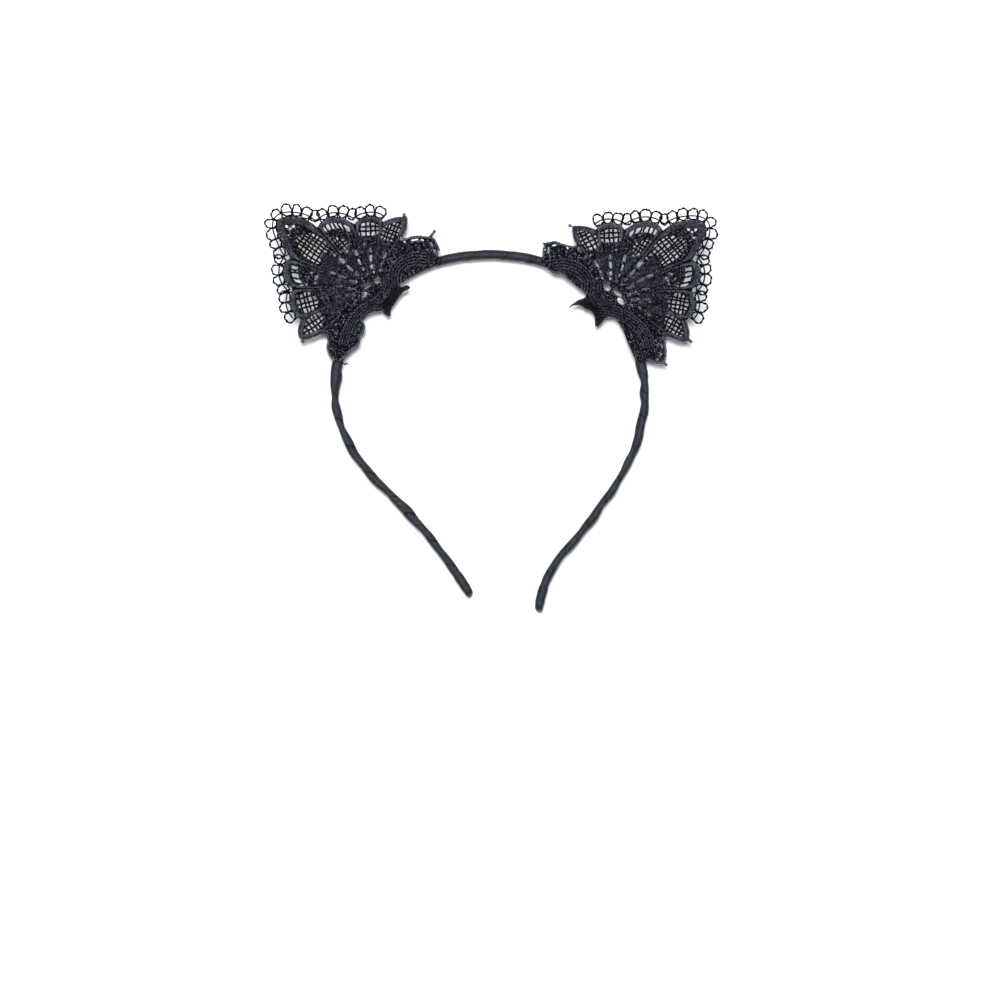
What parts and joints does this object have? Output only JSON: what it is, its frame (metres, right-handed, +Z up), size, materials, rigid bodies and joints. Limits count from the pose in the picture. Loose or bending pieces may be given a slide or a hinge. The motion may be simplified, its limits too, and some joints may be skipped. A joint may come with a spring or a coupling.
{
  "type": "animal ears headband",
  "caption": "Narrow ribbon-wound spring headband with a pair of openwork lace cat ears sewn to the front, picot edged, with leaf tips inside the hoop.",
  "frame": {"origin": "inner face of the band at the top of the head, where the band rests on the wearer", "axes": "+Z up as worn, +X towards the right-hand ear seen from the front, and the wearer looks along -Y, so the lace faces -Y"},
  "size_m": [0.1967, 0.0103, 0.174],
  "materials": {
    "satin_ribbon": "satin",
    "guipure_lace": "matte",
    "sewing_thread": "matte",
    "spring_steel": "plain cold-rolled strip"
  },
  "bodies": {
    "crown": {"crown_ribbon_wrap": "satin_ribbon", "crown_spring_core": "spring_steel"},
    "left_shoulder": {"left_shoulder_ribbon_wrap": "satin_ribbon", "left_shoulder_spring_core": "spring_steel", "left_ear_sewn_lace": "guipure_lace", "left_ear_stitches": "sewing_thread"},
    "left_leg": {"left_leg_ribbon_wrap": "satin_ribbon", "left_leg_spring_core": "spring_steel", "left_tip_ribbon_fold": "satin_ribbon"},
    "left_ear": {"left_ear_lace_fan": "guipure_lace"},
    "right_shoulder": {"right_shoulder_ribbon_wrap": "satin_ribbon", "right_shoulder_spring_core": "spring_steel", "right_ear_sewn_lace": "guipure_lace", "right_ear_stitches": "sewing_thread"},
    "right_leg": {"right_leg_ribbon_wrap": "satin_ribbon", "right_leg_spring_core": "spring_steel", "right_tip_ribbon_fold": "satin_ribbon"},
    "right_ear": {"right_ear_lace_fan": "guipure_lace"}
  },
  "joints": [
    {"name": "left_shoulder_flex", "type": "hinge", "parent": "crown", "child": "left_shoulder", "pos_m": [-0.01885, 0, -0.00029], "axis": [0, 1, 0], "range_deg": [-2, 12], "stiffness_Nm_per_rad": 1.2},
    {"name": "left_leg_flex", "type": "hinge", "parent": "left_shoulder", "child": "left_leg", "pos_m": [-0.06562, 0, -0.04845], "axis": [0, 1, 0], "range_deg": [-2, 12], "stiffness_Nm_per_rad": 0.8},
    {"name": "left_ear_tilt", "type": "hinge", "parent": "left_shoulder", "child": "left_ear", "pos_m": [-0.0545, -0.00445, -0.01226], "axis": [-0.6367, 0, -0.7711], "range_deg": [-25, 25], "stiffness_Nm_per_rad": 0.02},
    {"name": "right_shoulder_flex", "type": "hinge", "parent": "crown", "child": "right_shoulder", "pos_m": [0.01885, 0, -0.00029], "axis": [0, -1, 0], "range_deg": [-2, 12], "stiffness_Nm_per_rad": 1.2},
    {"name": "right_leg_flex", "type": "hinge", "parent": "right_shoulder", "child": "right_leg", "pos_m": [0.06547, 0, -0.04814], "axis": [0, -1, 0], "range_deg": [-2, 12], "stiffness_Nm_per_rad": 0.8},
    {"name": "right_ear_tilt", "type": "hinge", "parent": "right_shoulder", "child": "right_ear", "pos_m": [0.05692, -0.00445, -0.01494], "axis": [-0.6632, 0, 0.7484], "range_deg": [-25, 25], "stiffness_Nm_per_rad": 0.02}
  ],
  "couplings": [
    {"joint": "left_leg_flex", "follows": "left_shoulder_flex", "ratio": 1},
    {"joint": "right_leg_flex", "follows": "right_shoulder_flex", "ratio": 1}
  ]
}
